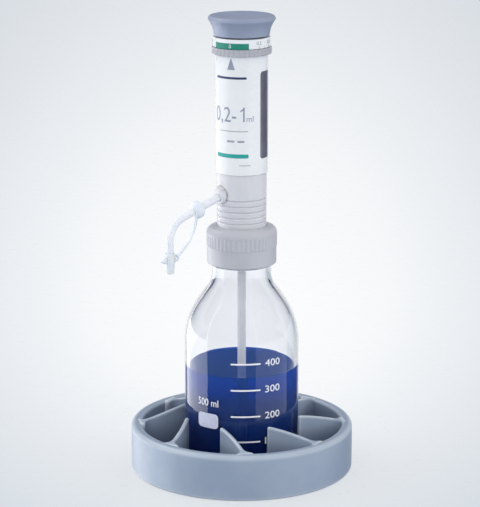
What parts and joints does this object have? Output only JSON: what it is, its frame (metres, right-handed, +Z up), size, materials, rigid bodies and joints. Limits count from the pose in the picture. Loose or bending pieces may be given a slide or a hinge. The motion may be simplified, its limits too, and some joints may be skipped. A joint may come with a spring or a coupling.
{
  "type": "bottle top dispenser",
  "caption": "Piston dispenser with a turning volume dial, pull-up knob and capped spout, screwed on a glass reagent bottle that stands in a round vaned stand.",
  "frame": {"origin": "middle of the stand's underside, on the common axis of stand, bottle and dispenser", "axes": "+Z up along the axis; -Y is the side that the scale is read from; the spout points 33 degrees from -Y towards -X; +X is the side with the window"},
  "size_m": [0.168, 0.168, 0.3445],
  "materials": {
    "stand_grey": "smooth moulded",
    "clear_glass": "clear borosilicate",
    "reagent_blue": "clear blue liquid",
    "milky_block": "translucent natural",
    "sleeve_white": "satin white",
    "window_dark": "dark glossy strip",
    "dial_white": "satin white with green scale",
    "ring_grey": "moulded grey",
    "knob_grey": "satin moulded blue grey",
    "collar_grey": "moulded light grey",
    "stem_white": "moulded white",
    "tube_clear": "translucent fluoropolymer",
    "cap_milky": "translucent soft plastic",
    "seal_white": "white fluoropolymer seal",
    "o_ring_black": "moulded elastomer",
    "ceramic_white": "ground oxide ceramic",
    "spring_steel": "bright drawn steel",
    "cam_plastic": "moulded grey"
  },
  "bodies": {
    "stand": {"bottle_stand": "stand_grey"},
    "bottle": {"bottle": "clear_glass", "reagent": "reagent_blue"},
    "dispenser": {"valve_block": "milky_block", "bottle_seal": "seal_white", "suction_valve_seat": "milky_block", "suction_tube": "tube_clear", "discharge_valve_seat": "milky_block", "discharge_valve_plug": "milky_block", "discharge_tube": "tube_clear", "tether_ring": "cap_milky", "cap_tether": "cap_milky", "glass_cylinder": "clear_glass", "cylinder_o_ring": "o_ring_black", "piston_seal": "seal_white", "cylinder_retainer": "stem_white", "outer_sleeve": "sleeve_white", "sleeve_window": "window_dark", "cam_bearing": "cam_plastic", "lock_ring_spring": "spring_steel"},
    "collar": {"screw_collar": "collar_grey"},
    "dial": {"volume_scale_ring": "dial_white", "stop_cam": "cam_plastic", "cam_clip": "spring_steel"},
    "lock_ring": {"locking_ring": "ring_grey"},
    "plunger": {"plunger_knob": "knob_grey", "plunger_stem": "stem_white", "stop_pin": "spring_steel", "piston_coupling": "stem_white", "ceramic_piston": "ceramic_white"},
    "tip_cap": {"spout_cap": "cap_milky"},
    "suction_ball": {"suction_valve_ball": "ceramic_white"},
    "discharge_ball": {"discharge_valve_ball": "ceramic_white"}
  },
  "joints": [
    {"name": "bottle_lift", "type": "slide", "parent": "stand", "child": "bottle", "axis": [0, 0, 1], "range_m": [0, 0.06]},
    {"name": "dispenser_lift", "type": "slide", "parent": "bottle", "child": "dispenser", "axis": [0, 0, 1], "range_m": [0, 0.172]},
    {"name": "collar_spin", "type": "hinge", "parent": "dispenser", "child": "collar", "pos_m": [0, 0, 0.172], "axis": [0, 0, 1], "continuous": true},
    {"name": "dial_turn", "type": "hinge", "parent": "dispenser", "child": "dial", "pos_m": [0, 0, 0.325], "axis": [0, 0, 1], "range_deg": [-300, 0]},
    {"name": "lock_ring_slide", "type": "slide", "parent": "dispenser", "child": "lock_ring", "axis": [0, 0, -1], "range_m": [0, 0.0025], "stiffness_N_per_m": 600, "springref_m": -0.003, "deforming": ["lock_ring_spring"]},
    {"name": "plunger_stroke", "type": "slide", "parent": "dispenser", "child": "plunger", "axis": [0, 0, 1], "range_m": [0, 0.03537]},
    {"name": "tip_cap_pull", "type": "slide", "parent": "dispenser", "child": "tip_cap", "axis": [0, 0, -1], "range_m": [0, 0.012], "deforming": ["cap_tether"]},
    {"name": "suction_ball_lift", "type": "slide", "parent": "dispenser", "child": "suction_ball", "axis": [0, 0, 1], "range_m": [0, 0.0008]},
    {"name": "discharge_ball_lift", "type": "slide", "parent": "dispenser", "child": "discharge_ball", "axis": [0, 0, 1], "range_m": [0, 0.0008]}
  ]
}
